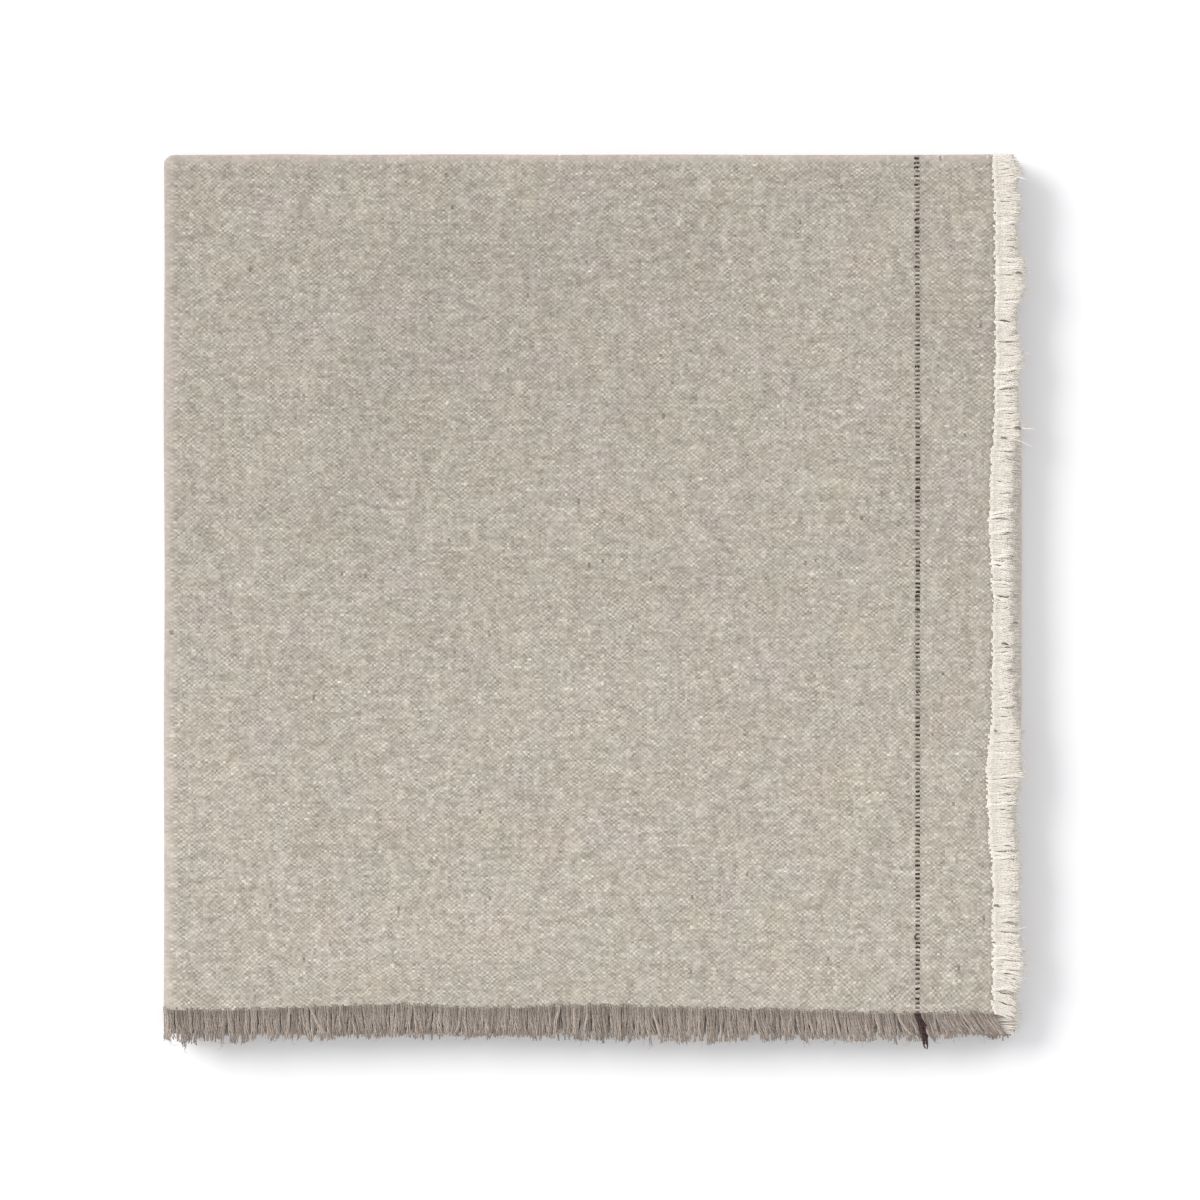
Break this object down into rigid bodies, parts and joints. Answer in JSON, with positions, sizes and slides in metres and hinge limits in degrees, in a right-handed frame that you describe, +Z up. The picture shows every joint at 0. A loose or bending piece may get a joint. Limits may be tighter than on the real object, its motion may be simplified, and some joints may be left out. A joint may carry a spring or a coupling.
{
  "type": "folded tablecloth",
  "caption": "Square woven tablecloth folded flat to sixteen layers, with frayed cream and taupe fringes and one dark warp line.",
  "frame": {"origin": "middle of the folded bundle's footprint, on the surface that it lies on", "axes": "+Z up from the resting surface, +X to the cream fringe, +Y to the closed back fold"},
  "size_m": [0.4276, 0.447, 0.0233],
  "materials": {
    "woven_cloth": "matt coarse plain weave of taupe warp and cream weft",
    "cream_yarn": "matt soft-spun cream yarn",
    "taupe_yarn": "matt soft-spun taupe yarn",
    "brown_yarn": "matt soft-spun dark brown yarn"
  },
  "bodies": {
    "root": {"cloth": "woven_cloth", "cream_fringe_first": "cream_yarn", "cream_fringe_second": "cream_yarn", "taupe_fringe_first": "taupe_yarn", "taupe_fringe_second": "taupe_yarn", "brown_tuft_first": "brown_yarn", "brown_tuft_second": "brown_yarn"}
  },
  "joints": []
}
